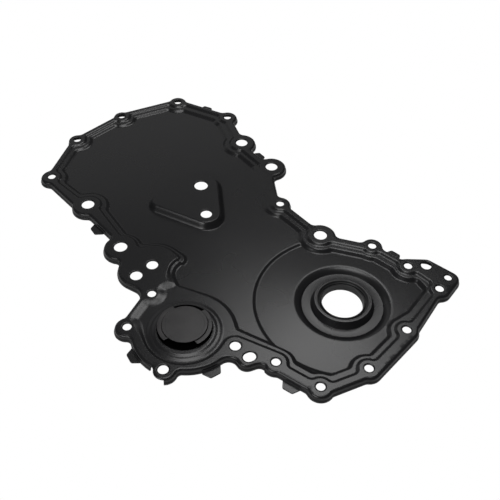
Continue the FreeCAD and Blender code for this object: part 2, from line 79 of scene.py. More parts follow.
# Each outline is a closed line round these, in order: a boss round a hole, an arc of its own, a web that runs
# at a distance beside its two neighbours, a neck between them. The last value is the radius.
EDGE_BLEND = 7.0
STEP_BLEND = 6.0
RIM = [
    ("arc", -156.0, 40.0, 51.0),
    ("arc", -141.9, -19.5, -10.0), ("arc", -122.3, -20.0, 9.5), ("arc", -118.3, -37.5, -7.5),
    ("boss", "s2", 12.0), ("web", 9.3, EDGE_BLEND), ("boss", "s12", 12.5),
    ("web", 10.0, EDGE_BLEND), ("boss", "s4", 12.5), ("boss", "s10", 12.3),
    ("arc", 50.5, -72.9, -7.0), ("arc", 89.7, -52.2, -7.0),
    ("boss", "s9", 12.0), ("arc", 115.2, -27.8, 11.0),
    ("boss", "m3", 10.5), ("boss", "s8", 11.5), ("web", 4.0, EDGE_BLEND), ("boss", "s6", 11.5),
    ("web", 2.5, EDGE_BLEND), ("boss", "l1", 17.4), ("web", 4.8, EDGE_BLEND),
    ("boss", "s11", 12.0), ("web", -0.5, EDGE_BLEND), ("boss", "l3", 17.4),
    ("web", 0.5, EDGE_BLEND), ("boss", "l2", 17.4), ("web", 4.4, EDGE_BLEND),
    ("boss", "s15", 12.5), ("web", 6.7, EDGE_BLEND), ("boss", "s5", 11.5),
    ("web", 7.5, EDGE_BLEND), ("boss", "s16", 10.3), ("web", 6.0, EDGE_BLEND),
    ("boss", "s14", 10.8), ("web", 7.0, EDGE_BLEND), ("boss", "s13", 12.8),
    ("arc", -217.0, 307.2, -7.0), ("arc", -206.6, 266.0, -7.0), ("boss", "l5", 18.0),
    ("arc", -194.4, 233.8, -7.0), ("arc", -183.9, 196.4, -5.0), ("boss", "l4", 18.5),
    ("neck", 6.0), ("arc", -167.3, 134.5, 25.0),
    ("arc", -193.1, 105.8, -12.0), ("arc", -208.9, 87.8, -7.0),
    ("boss", "s3", 12.6), ("neck", 6.0), ("arc", *PUMP, 53.0), ("neck", 4.0),
    ("arc", -197.0, 4.5, 11.5), ("neck", 6.0)]
FIRST_STEP = [
    ("boss", "m2", 12.2), ("boss", "s2", 11.5),
    ("web", 2.2, STEP_BLEND), ("boss", "s12", 10.8), ("web", 0.0, STEP_BLEND),
    ("boss", "s4", 10.8), ("web", 1.0, STEP_BLEND), ("boss", "s10", 10.8),
    ("web", 1.5, STEP_BLEND), ("boss", "s9", 10.6), ("arc", 90.6, -21.8, 4.0),
    ("arc", 86.6, -8.2, 4.0), ("boss", "s8", 10.8), ("web", 3.2, STEP_BLEND),
    ("boss", "s6", 10.8), ("web", 7.5, STEP_BLEND), ("boss", "l1", 15.0),
    ("web", 4.0, STEP_BLEND), ("boss", "s11", 10.8), ("boss", "l3", 15.0),
    ("web", 9.0, STEP_BLEND), ("boss", "l2", 15.0), ("web", 6.2, STEP_BLEND),
    ("boss", "s15", 10.8), ("web", 1.0, STEP_BLEND), ("boss", "s5", 10.8),
    ("web", 0.0, STEP_BLEND), ("boss", "s16", 10.8), ("web", 1.5, STEP_BLEND),
    ("boss", "s14", 10.8), ("web", 0.0, STEP_BLEND), ("boss", "s13", 10.8),
    ("web", 0.0, STEP_BLEND), ("boss", "l5", 15.0), ("web", 8.0, STEP_BLEND),
    ("boss", "l4", 18.0), ("neck", STEP_BLEND), ("arc", -153.7, 135.6, -27.5),
    ("arc", -128.5, 132.5, -4.0), ("arc", -122.3, 106.5, 23.5), ("arc", -148.5, 103.5, -3.0),
    ("arc", -155.3, 95.5, 5.0), ("boss", "s7", 10.8), ("web", 0.0, STEP_BLEND),
    ("boss", "s3", 10.8), ("arc", *PUMP, 41.0)]
SECOND_STEP = [
    ("arc", *PUMP, -50.8), ("arc", -107.9, 17.9, 5.0), ("boss", "s2", 18.4),
    ("web", 10.8, STEP_BLEND),
    ("boss", "s12", 17.5), ("web", 9.5, STEP_BLEND), ("boss", "s4", 17.5),
    ("web", 9.0, STEP_BLEND), ("boss", "s10", 17.5), ("arc", 49.4, -37.3, 6.0),
    ("arc", 79.8, -23.3, 6.0), ("arc", 80.8, -14.9, 5.0), ("boss", "s8", 17.5),
    ("web", 13.1, STEP_BLEND),
    ("boss", "s6", 17.5), ("web", 16.0, STEP_BLEND), ("boss", "l1", 22.5),
    ("web", 11.9, STEP_BLEND), ("boss", "s11", 17.5), ("boss", "l3", 22.5),
    ("web", 16.3, STEP_BLEND), ("boss", "l2", 22.5), ("web", 15.2, STEP_BLEND),
    ("boss", "s15", 17.5), ("web", 10.6, STEP_BLEND), ("boss", "s5", 17.5),
    ("web", 7.0, STEP_BLEND), ("boss", "s16", 17.5), ("web", 6.8, STEP_BLEND),
    ("boss", "s14", 17.5), ("web", 6.2, STEP_BLEND), ("boss", "s13", 17.5),
    ("web", 6.4, STEP_BLEND), ("boss", "l5", 22.5), ("web", 15.0, STEP_BLEND),
    ("boss", "l4", 22.5), ("neck", STEP_BLEND), ("arc", -153.7, 135.6, -32.5),
    ("arc", -127.0, 131.5, -9.0), ("arc", -122.3, 106.5, 18.5), ("arc", -138.6, 97.5, 3.0)]

# Relief of the sheet: drops and rises, and half the width of each step
STEP_1_DROP = 2.0
STEP_1_HALF = 2.1
PANEL_DROP = 4.5
STEP_2_HALF = 2.7
PAD_RISE = 8.0
PAD_RUN = 4.5
PAD_HALF = 3.4
PAD_MIDDLE = PAD_RUN / 2
DISC_R = 93.0
DISC_OUT = 0.6
DISC_RUN = 4.6
DISC_DROP = 1.6
CONE_R = DISC_R - 4.0
CONE_RISE = 1.4
# Radius and run of the two rings in the pump bulge, each of which rises 1 mm
PUMP_RINGS = [(38.4, 4.8), (33.4, 4.2)]
# The first step is a broad soft fold between the flat bracket and the pump bulge
FOLD_FROM = np.array([-203.0, 73.0])
FOLD_TO = np.array([-152.0, 99.0])
FOLD_EXTRA = 3.2
FOLD_REACH = 17.0
# On a slope the sheet measures more from top to bottom than SHEET, up to this many times
THICKEST = 1.6

# Turned-down edge
BEND = 3.0
BEND_STEPS = 6
INNER_BEND_STEPS = 4
LIP = 8.0
LIP_FOOT = [(0.0, -4.2), (0.15, -4.7), (0.75, -5.4), (0.95, -5.9), (1.0, -7.6), (0.8, -LIP),
            (-0.7, -LIP), (-0.9, -7.6), (-1.0, -6.2), (-SHEET, -5.2)]
# The flat lug by the pump has no lip: reach round its hole and directions in degrees
LUG_REACH = 17.0
LUG_FROM = 136.0
LUG_TO = 247.0
LUG_EDGE = -0.35

# Tabs on the foot of the lip: root, length, width at the foot and at the tip
TAB_ROOT = -1.2
TAB_SHOULDER = 0.4
TAB_OUT = 8.5
TAB_LONG = 10.0
TAB_BASE = 20.0
TAB_TIP = 11.0
TAB_RADII = [0, 1.2, 2.6, 2.6, 1.2, 0]
TAB_LEVELS = [(0.25, -LIP), (0.0, -LIP + 0.25), (0.0, -LIP + SHEET - 0.3), (0.3, -LIP + SHEET)]
# Two holes, distance in from their line, distance along it, length
WEB_TABS = [
    ("s2", "s12", 9.3, 24.0, TAB_OUT), ("s8", "s6", 4.0, 23.0, TAB_LONG),
    ("l3", "l2", 0.5, 31.0, TAB_LONG), ("s15", "s5", 6.7, 38.0, TAB_LONG),
    ("l5", "l4", 4.5, 37.0, TAB_OUT)]
# Direction in degrees and radius round the pump
PUMP_TABS = [(182.5, 52.4), (275.0, 50.4)]

# Moat and drawn collar round the crank seal
JOIN_R = 52.6
MOAT_R = 49.0
MOAT_EDGE_R = 51.0
MOAT_FOOT_R = 42.2
MOAT_WALL_STEPS = 14
MOAT_WALL_POWER = 1.8
MOAT_DEPTH = 4.8
COLLAR_RISE = 8.4
COLLAR_FOOT_R = 32.9
COLLAR_TOP_R = 29.7
COLLAR_BORE_R = 28.0
SEAL_SUNK = 0.2
SEAL_BELOW = 1.0

# Access cap
CAP_UP = 0.7
CAP_TURN = radians(-35)
CAP_POINTS = 240
CAP_SEAL_POINTS = 120
WING_R = 27.2
WING_TOP = 3.6
WING_HALF = radians(54)
WING_CORNER = radians(1.6)
WING_SIDE_R = 22.2
ROUND_R = 22.6
ROUND_TOP = 4.6
SKIRT_R = 20.3
SKIRT_FOOT = -9.6
SKIRT_INNER_R = 18.1
SKIRT_ROOF = 2.4
BEAD_R = 21.2
CAP_SEAL_SECTION = [(20.9, 0.1), (22.1, 0.1), (22.1, 1.6), (20.9, 1.6)]
MARK_TURN = radians(-17)
MARK_R = 24.9
MARK_HALF = 1.7
CENTRE_R = 0.02

# Studio and finish, with these lengths in metres
FLOOR_HALF = 6.0
FLOOR_GAP = 0.0002
FLOOR_SHADE = 0.8
WORLD_LIGHT = 0.07
GRAIN_DEPTH = 0.0002

# Spacing and number of the points on the sheet
SPACING = 2.2
MAX_TURN = radians(11)
BORE_BEVEL = 0.25
BORE_POINTS = 40
CAP_BORE_POINTS = 96
BORE_RIM = 1.6
BORE_RIM_POINTS = 24
MOAT_POINTS = 180
SEAL_POINTS = 160
# Rows of points run along each step and along the pad's wall, and a little past its width
ROWS_EACH_SIDE = 5
ROWS_REACH = 1.04
# More rows at the fold, in half widths of the first step, and a fine grid
FOLD_ROWS = (-2.0, -1.75, -1.5, -1.25, 1.25, 1.5, 1.75, 2.0)
FOLD_ROWS_REACH = 24.0
FOLD_GRID_REACH = 22.0
FOLD_GRID_SIDE = 6.0
# Limits of each grid in x and in y, its step and how far every other row is moved aside
FOLD_GRID = (-225, -125, 50, 125, 1.1, 0.5)
WIDE_GRID = (-225, 130, -100, 415, 6.5, 3.2)
# Centre, radii and number of points of the round rows
ROUND_ROWS = [
    ((0, 0), np.arange(87.8, 95.0, 0.8), 300),
    ((0, 0), np.arange(55.0, 87.0, 4.2), 180),
    (PUMP, [*np.arange(28.8, 39.4, 0.55), 23.0, 26.0, 40.6], 120)]
# Gap from the free points to the loops, and between the points themselves
POINT_GAP = 0.5
CELL = 0.45
NEAR_SQUARED = 0.2
WELDS_PER_MM = 2000


def centre(item):
    return HOLE[item[1]] if item[0] == "boss" else item[1:3]


def rim_circles(items, side):
    """Signed circles of an outline, with the blends of its webs and necks worked out."""
    out = []
    for i, item in enumerate(items):
        kind = item[0]
        r = item[-1]
        if kind == "boss":
            out.append((*centre(item), side * r))
            continue
        if kind == "arc":
            out.append((*centre(item), r))
            continue
        before = items[i - 1]
        after = items[(i + 1) % len(items)]
        x0, y0 = centre(before)
        x1, y1 = centre(after)
        dist = sqrt((x1 - x0) ** 2 + (y1 - y0) ** 2)
        ux = (x1 - x0) / dist
        uy = (y1 - y0) / dist
        ra = abs(before[-1]) + r
        rb = abs(after[-1]) + r
        if kind == "web":
            height = item[1] + r
            along = [sqrt(ra * ra - height * height), dist - sqrt(rb * rb - height * height)]
        else:
            along = [(dist * dist + ra * ra - rb * rb) / (2 * dist)]
            height = sqrt(ra * ra - along[0] * along[0])
        for s in along:
            out.append((x0 + ux * s + side * uy * height, y0 + uy * s - side * ux * height, -side * r))
    return out


def line_normal(a, b):
    """Outward direction of the straight line that touches two signed circles."""
    dx = b[0] - a[0]
    dy = b[1] - a[1]
    dist = sqrt(dx * dx + dy * dy)
    k = max(-1.0, min(1.0, (a[2] - b[2]) / dist))
    m = sqrt(1.0 - k * k)
    return (dx / dist * k + dy / dist * m, dy / dist * k - dx / dist * m)


class Belt:
    """Closed line round signed circles; it passes a circle of negative radius on its other side."""

    FULL_TURN = 2 * pi - 0.001
    TURN_SLACK = 2e-4
    SHORTEST = 0.02
    LINE_SLACK = 0.001

    def __init__(self, circles):
        n = len(circles)
        normals = [line_normal(circles[i], circles[(i + 1) % n]) for i in range(n)]
        self.arcs = []
        self.lines = []
        for i, (x, y, r) in enumerate(circles):
            start = atan2(normals[i - 1][1], normals[i - 1][0])
            sweep = (atan2(normals[i][1], normals[i][0]) - start) % (2 * pi)
            if r < 0:
                sweep = sweep - 2 * pi
            if abs(sweep) > self.FULL_TURN:
                sweep = 0.0
            self.arcs.append((x, y, r, start, sweep))
            nx, ny = normals[i]
            x1, y1, r1 = circles[(i + 1) % n]
            p = (x + nx * r, y + ny * r)
            q = (x1 + nx * r1, y1 + ny * r1)
            length = (q[1] - p[1]) * nx - (q[0] - p[0]) * ny
            self.lines.append((p, q, (nx, ny), length))

    def samples(self):
        """Points of the line with their outward directions, as rows of x, y, nx, ny."""
        out = []
        for (x, y, r, start, sweep), (p, q, (nx, ny), length) in zip(self.arcs, self.lines):
            count = max(1, ceil(abs(r * sweep) / SPACING), ceil(abs(sweep) / MAX_TURN))
            for k in range(count):
                a = start + sweep * k / count
                out.append((x + r * cos(a), y + r * sin(a), cos(a), sin(a)))
            if length > self.SHORTEST:
                count = max(1, ceil(length / SPACING))
                for k in range(count):
                    t = k / count
                    out.append((p[0] + (q[0] - p[0]) * t, p[1] + (q[1] - p[1]) * t, nx, ny))
        return np.array(out)

    def offset(self, grow):
        s = self.samples()
        return s[:, :2] + s[:, 2:] * grow

    def inside(self, pts):
        """Distance inwards from the line, negative outside."""
        best = np.full(len(pts), 1e9)
        for x, y, r, start, sweep in self.arcs:
            v = pts - np.array([x, y])
            d = np.hypot(v[:, 0], v[:, 1])
            angle = np.arctan2(v[:, 1], v[:, 0])
            if r < 0:
                s = abs(r) - d
                turn = (start - angle - pi) % (2 * pi)
            else:
                s = d - r
                turn = (angle - start) % (2 * pi)
            in_arc = (turn <= abs(sweep) + self.TURN_SLACK) | (turn > 2 * pi - self.TURN_SLACK)
            nearer = in_arc & (np.abs(s) < np.abs(best))
            best[nearer] = s[nearer]
        for p, q, (nx, ny), length in self.lines:
            if length < self.LINE_SLACK:
                continue
            v = pts - np.array(p)
            t = v[:, 1] * nx - v[:, 0] * ny
            s = v[:, 0] * nx + v[:, 1] * ny
            on_line = (t >= -self.LINE_SLACK) & (t <= length + self.LINE_SLACK)
            nearer = on_line & (np.abs(s) < np.abs(best))
            best[nearer] = s[nearer]
        return -best


rim_belt = Belt(rim_circles(RIM, 1))
step_1 = Belt(rim_circles(FIRST_STEP, -1))
step_2 = Belt(rim_circles(SECOND_STEP, -1))
pad_belt = Belt(PAD_CORNERS)


def ramp(x):
    """Soft rise from 0 to 1."""
    x = np.clip(x, 0.0, 1.0)
    return x * x * (3 - 2 * x)


def fold_distance(pts):
    along = FOLD_TO - FOLD_FROM
    t = np.clip((pts - FOLD_FROM) @ along / (along @ along), 0, 1)
    gap = pts - FOLD_FROM - t[:, None] * along
    return np.hypot(gap[:, 0], gap[:, 1])


def disc(r):
    """The disc round the crankshaft steps down and then rises as a flat cone to the moat."""
    fall = ramp((DISC_R + DISC_OUT - r) / DISC_RUN) * DISC_DROP
    rise = np.clip((CONE_R - r) / (CONE_R - MOAT_R), 0, 1) * CONE_RISE
    return rise - fall


def front_height(pts):
    """Height of the front of the sheet at each point of the plan."""
    half_1 = STEP_1_HALF + FOLD_EXTRA * np.exp(-(fold_distance(pts) / FOLD_REACH) ** 4)
    in_1 = ramp((step_1.inside(pts) + half_1) / (2 * half_1))
    in_2 = ramp((step_2.inside(pts) + STEP_2_HALF) / (2 * STEP_2_HALF))
    z = -STEP_1_DROP * in_1 - (PANEL_DROP - STEP_1_DROP) * in_2
    z = z + disc(np.hypot(pts[:, 0], pts[:, 1])) * in_2
    z = z + PAD_RISE * ramp((pad_belt.inside(pts) + PAD_MIDDLE + PAD_HALF) / (2 * PAD_HALF))
    from_pump = np.hypot(pts[:, 0] - PUMP[0], pts[:, 1] - PUMP[1])
    for r, run in PUMP_RINGS:
        z = z + ramp((r - from_pump) / run)
    return z


def slopes(pts):
    """Slope of the front along x and along y."""
    e = 0.05
    gx = (front_height(pts + [e, 0]) - front_height(pts - [e, 0])) / (2 * e)
    gy = (front_height(pts + [0, e]) - front_height(pts - [0, e])) / (2 * e)
    return gx, gy


def back_height(pts):
    gx, gy = slopes(pts)
    return front_height(pts) - SHEET * np.minimum(np.sqrt(1 + gx * gx + gy * gy), THICKEST)


# Heights at the moat and the collar, which the crank seal follows
join_z = float(front_height(np.array([[0.0, JOIN_R]]))[0])
cone_slope = CONE_RISE / (CONE_R - MOAT_R)
moat_z = join_z + (JOIN_R - MOAT_R) * cone_slope
moat_edge_z = moat_z - (MOAT_EDGE_R - MOAT_R) * cone_slope
ledge_z = moat_z - MOAT_DEPTH
collar_z = ledge_z + COLLAR_RISE


def ring(x, y, r, count, off=0.0):
    """Points on a circle, drawn out by off to each side along x."""
    a = np.linspace(0, 2 * pi, count, endpoint=False)
    shift = np.where(np.cos(a) >= 0, off, -off)
    return np.stack([x + r * np.cos(a) + shift, y + r * np.sin(a)], axis=1)


class Builder:
    """Collects vertices and faces in mm and welds vertices that coincide."""

    def __init__(self, lift=0.0):
        self.lift = lift
        self.verts = []
        self.index = {}
        self.faces = []

    def vert(self, x, y, z):
        key = (round(x * WELDS_PER_MM), round(y * WELDS_PER_MM), round(z * WELDS_PER_MM))
        if key not in self.index:
            self.index[key] = len(self.verts)
            self.verts.append((x * MM, y * MM, (z + FLANGE_Z + self.lift) * MM))
        return self.index[key]

    def row(self, pts, heights):
        return [self.vert(p[0], p[1], z) for p, z in zip(pts, heights)]

    def face(self, ids):
        clean = []
        for i in ids:
            if not clean or clean[-1] != i:
                clean.append(i)
        if len(clean) > 2 and clean[0] == clean[-1]:
            clean.pop()
        if len(set(clean)) == len(clean) and len(clean) > 2:
            self.faces.append(tuple(clean))

    def strip(self, rows):
        """Faces between closed rows of vertex ids, each row as long as the next."""
        for a, b in zip(rows[:-1], rows[1:]):
            n = len(a)
            for k in range(n):
                j = (k + 1) % n
                self.face([a[k], a[j], b[j], b[k]])

    def lathe(self, profile, x, y, count, close=False):
        rows = []
        for r, z in profile:
            turns = [2 * pi * k / count for k in range(count)]
            rows.append([self.vert(x + r * cos(t), y + r * sin(t), z) for t in turns])
        if close:
            rows.append(rows[0])
        self.strip(rows)

    def object(self, name, node, sharp):
        mesh = bpy.data.meshes.new(name)
        mesh.from_pydata(self.verts, [], self.faces)
        mesh.validate()
        mesh.update()
        mesh.polygons.foreach_set("use_smooth", [True] * len(mesh.polygons))
        mesh.set_sharp_from_angle(angle=radians(sharp))
        obj = bpy.data.objects.new(name, mesh)
        bpy.context.scene.collection.objects.link(obj)
        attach(obj, "root")
        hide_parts(node)
        return obj


def fillet_path(points, radii, steps, closed=False):
    """Polyline with rounded corners."""
    out = []
    n = len(points)
    for i in range(n):
        p = np.array(points[i], float)
        if radii[i] == 0 or (not closed and i in (0, n - 1)):
            out.append(tuple(p))
            continue
        a = np.array(points[i - 1], float) - p
        b = np.array(points[(i + 1) % n], float) - p
        a_length = np.linalg.norm(a)
        b_length = np.linalg.norm(b)
        a = a / a_length
        b = b / b_length
        angle = np.arccos(np.clip(a @ b, -1, 1))
        cut = min(radii[i] / np.tan(angle / 2), a_length * 0.49, b_length * 0.49)
        r = cut * np.tan(angle / 2)
        c = p + (a + b) / np.linalg.norm(a + b) * (r / np.sin(angle / 2))
        first = p + a * cut - c
        last = p + b * cut - c
        start = atan2(first[1], first[0])
        turn = (atan2(last[1], last[0]) - start + pi) % (2 * pi) - pi
        for k in range(steps + 1):
            t = start + turn * k / steps
            out.append((c[0] + r * cos(t), c[1] + r * sin(t)))
    return out


def list_bores():
    """Centre, radius, half straight length and number of points of each bore, the cap's last."""
    out = []
    for name, (x, y) in HOLE.items():
        usual = LARGE_D if name[0] == "l" else SMALL_D
        out.append((x, y, OTHER_D.get(name, usual) / 2, 0.0, BORE_POINTS))
    for x, y, r in PAD_HOLES:
        out.append((x, y, r, 0.0, BORE_POINTS))
    out.append((*SLOT, BORE_POINTS))
    out.append((*CAP_AT, CAP_BORE_R, 0.0, CAP_BORE_POINTS))
    return out


bores = list_bores()


def in_sheet(pts, gap):
    """Whether each point lies on the sheet, at least this far from its edge, bores and moat."""
    ok = rim_belt.inside(pts) > BEND + gap
    for x, y, r, off, count in bores:
        dx = np.maximum(np.abs(pts[:, 0] - x) - off, 0)
        ok &= np.hypot(dx, pts[:, 1] - y) > r + BORE_BEVEL + gap
    ok &= np.hypot(pts[:, 0], pts[:, 1]) > JOIN_R + gap
    return ok


def grid(x_from, x_to, y_from, y_to, step, shift):
    """Points in rows, with every other row moved aside."""
    x, y = np.meshgrid(np.arange(x_from, x_to, step), np.arange(y_from, y_to, step))
    x = x + (np.arange(x.shape[0]) % 2)[:, None] * shift
    return np.stack([x.ravel(), y.ravel()], axis=1)


def free_points():
    """Points on the steps, the fold, the disc and the rings, and a wide grid for the rest."""
    out = []
    walls = ((step_1, STEP_1_HALF, 0.0), (step_2, STEP_2_HALF, 0.0), (pad_belt, PAD_HALF, PAD_MIDDLE))
    for belt, half, middle in walls:
        for k in range(-ROWS_EACH_SIDE, ROWS_EACH_SIDE + 1):
            out.append(belt.offset(middle + half * k / ROWS_EACH_SIDE * ROWS_REACH))
    for k in FOLD_ROWS:
        row = step_1.offset(STEP_1_HALF * k)
        out.append(row[fold_distance(row) < FOLD_ROWS_REACH])
    fine = grid(*FOLD_GRID)
    fine = fine[fold_distance(fine) < FOLD_GRID_REACH]
    out.append(fine[np.abs(step_1.inside(fine)) < FOLD_GRID_SIDE])
    for (x, y), radii, count in ROUND_ROWS:
        out += [ring(x, y, r, count) for r in radii]
    for x, y, r, off, count in bores[:-1]:
        out.append(ring(x, y, r + BORE_RIM, BORE_RIM_POINTS, off))
    out.append(grid(*WIDE_GRID))
    out = np.concatenate(out)
    return out[in_sheet(out, POINT_GAP)]


def thin_out(pts):
    """Leaves out each point that lies too near to an earlier one."""
    cells = {}
    kept = []
    for p in pts:
        column = int(p[0] // CELL)
        line = int(p[1] // CELL)
        around = [cells.get((column + a, line + b)) for a in (-1, 0, 1) for b in (-1, 0, 1)]
        gaps = [(q[0] - p[0]) ** 2 + (q[1] - p[1]) ** 2 for q in around if q is not None]
        if not gaps or min(gaps) >= NEAR_SQUARED:
            cells[(column, line)] = p
            kept.append(p)
    return np.array(kept)


def sheet_plan():
    """Points and triangles between the edge, the bores and the moat, seen from above."""
    loops = [rim_belt.offset(-BEND)]
    for x, y, r, off, count in bores:
        loops.append(ring(x, y, r + BORE_BEVEL, count, off))
    loops.append(ring(0, 0, JOIN_R, MOAT_POINTS))
    edges = []
    start = 0
    for loop in loops:
        n = len(loop)
        edges += [(start + k, start + (k + 1) % n) for k in range(n)]
        start += n
    points = [Vector((p[0], p[1])) for p in np.concatenate(loops + [thin_out(free_points())])]
    result = delaunay_2d_cdt(points, edges, [], 0, 1e-5, False)
    flat = np.array([(v[0], v[1]) for v in result[0]])
    triangles = np.array([face for face in result[2] if len(face) == 3])
    middles = flat[triangles].mean(axis=1)
    return flat, triangles[in_sheet(middles, -BORE_BEVEL / 2)]


def add_sheet(cover):
    """Front and back of the sheet. Returns the direction that each of their vertices faces."""
    flat, triangles = sheet_plan()
    z_front = front_height(flat)
    z_back = back_height(flat)
    gx, gy = slopes(flat)
    lean = np.stack([-gx, -gy, np.ones(len(flat))], axis=1)
    lean = lean / np.linalg.norm(lean, axis=1)[:, None]
    front = {}
    back = {}
    lean_at = {}
    for i in np.unique(triangles):
        front[i] = cover.vert(flat[i, 0], flat[i, 1], z_front[i])
        back[i] = cover.vert(flat[i, 0], flat[i, 1], z_back[i])
        lean_at[front[i]] = lean[i]
        lean_at[back[i]] = -lean[i]
    for a, b, c in triangles:
        ab = flat[b] - flat[a]
        ac = flat[c] - flat[a]
        if ab[0] * ac[1] - ab[1] * ac[0] < 0:
            b, c = c, b
        cover.face([front[a], front[b], front[c]])
        cover.face([back[a], back[c], back[b]])
    return lean_at


def lip_profile():
    """Distance out and height, over the bend, down the lip and back up inside."""
    out = []
    for k in range(BEND_STEPS + 1):
        a = pi / 2 * k / BEND_STEPS
        out.append((-BEND + BEND * sin(a), -BEND + BEND * cos(a)))
    out += LIP_FOOT
    for k in range(INNER_BEND_STEPS + 1):
        a = pi / 2 * k / INNER_BEND_STEPS
        out.append((-BEND + (BEND - SHEET) * cos(a), -BEND + (BEND - SHEET) * sin(a)))
    return out


def is_bare(place):
    """Whether a place on the edge is on the lug that has no lip."""
    dx = place[0] - HOLE["m1"][0]
    dy = place[1] - HOLE["m1"][1]
    return sqrt(dx * dx + dy * dy) < LUG_REACH and LUG_FROM < degrees(atan2(dy, dx)) % 360 < LUG_TO


def add_lip(cover):
    """Rounded edge and turned-down lip, with a cut where the bare lug starts and ends."""
    edge = rim_belt.samples()
    bare = [is_bare(place) for place in edge]
    columns = []
    for k in range(len(edge)):
        after = (k + 1) % len(edge)
        columns.append((edge[k], bare[k]))
        if bare[k] != bare[after]:
            halfway = (edge[k] + edge[after]) / 2
            columns += [(halfway, bare[k]), (halfway, bare[after])]
    rows = []
    for profile_out, profile_z in lip_profile():
        row = []
        for (x, y, nx, ny), flat in columns:
            out = min(profile_out, LUG_EDGE) if flat else profile_out
            z = max(profile_z, -SHEET) if flat else profile_z
            row.append(cover.vert(x + nx * out, y + ny * out, z))
        rows.append(row[::-1])
    cover.strip(rows)


def add_bores(cover):
    for x, y, r, off, count in bores:
        mouth = ring(x, y, r + BORE_BEVEL, count, off)
        wall = ring(x, y, r, count, off)
        z_front = front_height(mouth)
        z_back = back_height(mouth)
        cover.strip([cover.row(mouth, z_front), cover.row(wall, z_front - BORE_BEVEL),
                     cover.row(wall, z_back + BORE_BEVEL), cover.row(mouth, z_back)])


def add_moat(cover):
    """Moat, ledge and drawn collar round the crank seal, front and back."""
    wall = []
    for k in range(MOAT_WALL_STEPS + 1):
        t = k / MOAT_WALL_STEPS
        wall.append((MOAT_EDGE_R - (MOAT_EDGE_R - MOAT_FOOT_R) * t,
                     moat_edge_z + (ledge_z - moat_edge_z) * t ** MOAT_WALL_POWER))
    front = fillet_path(
        wall + [(COLLAR_FOOT_R, ledge_z), (COLLAR_TOP_R, collar_z), (COLLAR_BORE_R, collar_z)],
        [0] * MOAT_WALL_STEPS + [0.6, 0.35, 0.5, 0], 6)
    back = fillet_path(
        [(COLLAR_BORE_R, collar_z), (COLLAR_BORE_R, ledge_z + 0.6), (31.6, ledge_z - SHEET),
         (43.0, ledge_z - SHEET), (49.6, moat_z - SHEET), (JOIN_R, join_z - SHEET)],
        [0, 2.0, 0.8, 0.8, 3.0, 0], 5)
    join = ring(0, 0, JOIN_R, MOAT_POINTS)
    rows = [cover.row(join, front_height(join))]
    for r, z in front + back[1:-1]:
        rows.append(cover.row(ring(0, 0, r, MOAT_POINTS), [z] * MOAT_POINTS))
    rows.append(cover.row(join, back_height(join)))
    cover.strip(rows)


def add_tab(cover, x, y, angle, length):
    """Flat tab that stands out from the foot of the lip."""
    corners = [(TAB_ROOT, -TAB_BASE / 2), (TAB_SHOULDER, -TAB_BASE / 2), (length, -TAB_TIP / 2),
               (length, TAB_TIP / 2), (TAB_SHOULDER, TAB_BASE / 2), (TAB_ROOT, TAB_BASE / 2)]
    outline = fillet_path(corners, TAB_RADII, 5)
    middle = sum(u for u, v in outline) / len(outline)
    ca = cos(angle)
    sa = sin(angle)
    rows = []
    for inset, z in TAB_LEVELS:
        row = []
        for u, v in outline:
            reach = sqrt((u - middle) ** 2 + v * v)
            u = u - (u - middle) / reach * inset
            v = v - v / reach * inset
            row.append(cover.vert(x + u * ca - v * sa, y + u * sa + v * ca, z))
        rows.append(row)
    cover.strip(rows)
    cover.face(rows[0][::-1])
    cover.face(rows[-1])


def add_tabs(cover):
    for a, b, set_in, along, length in WEB_TABS:
        x0, y0 = HOLE[a]
        x1, y1 = HOLE[b]
        dist = sqrt((x1 - x0) ** 2 + (y1 - y0) ** 2)
        ux = (x1 - x0) / dist
        uy = (y1 - y0) / dist
        add_tab(cover, x0 + ux * along + uy * set_in, y0 + uy * along - ux * set_in, atan2(-ux, uy), length)
    for turn, r in PUMP_TABS:
        a = radians(turn)
        add_tab(cover, PUMP[0] + r * cos(a), PUMP[1] + r * sin(a), a, TAB_OUT)


def build_cover():
    cover = Builder()
    lean_at = add_sheet(cover)
    pressed_faces = len(cover.faces)
    add_lip(cover)
    add_bores(cover)
    add_moat(cover)
    add_tabs(cover)
    obj = cover.object("painted_cover", "cover_pressing", 34)
    # The pressed faces shade by the relief itself, and a zero leaves the other faces as they are
    normals = []
    for k, polygon in enumerate(obj.data.polygons):
        for corner in polygon.vertices:
            normals.append(tuple(lean_at[corner]) if k < pressed_faces else (0.0, 0.0, 0.0))
    obj.data.normals_split_custom_set(normals)
    return obj


def build_seal():
    """Rubber of the crank seal: body, dust lip and sealing lip."""
    top = collar_z - SEAL_SUNK
    low = ledge_z - SEAL_BELOW
    section = fillet_path([
        (COLLAR_BORE_R, low), (COLLAR_BORE_R, top), (26.2, top), (25.8, top - 2.6), (25.0, top - 3.0),
        (24.7, top - 4.9), (24.0, top - 5.1), (23.0, top - 2.6), (22.3, top - 2.0), (21.9, top - 2.5),
        (21.9, top - 5.0), (21.2, low - 0.5), (22.4, low - 0.5), (23.0, low), (23.9, low),
        (24.0, low + 1.7), (25.6, low + 2.0), (25.8, low)],
        [0.3, 0.35, 0.4, 0.4, 0.3, 0.4, 0.3, 0.3, 0.25, 0.2, 1.0, 0.15, 0.15, 0.2, 0.2, 0.3, 0.3, 0.2],
        4, True)
    seal = Builder()
    seal.lathe(section[::-1], 0, 0, SEAL_POINTS, True)
    return seal.object("seal_rubber_body", "seal_rubber", 50)


def wing_radius(a):
    """Radius of the cap's plan in a direction: two wings, with the sides set in between them."""
    t = (a - CAP_TURN) % pi
    t = min(t, pi - t)
    past_corner = (t - WING_HALF) / WING_CORNER
    share = 1 / (1 + np.exp(np.clip(past_corner * 4, -30, 30)))
    return WING_SIDE_R + (WING_R - WING_SIDE_R) * float(share)


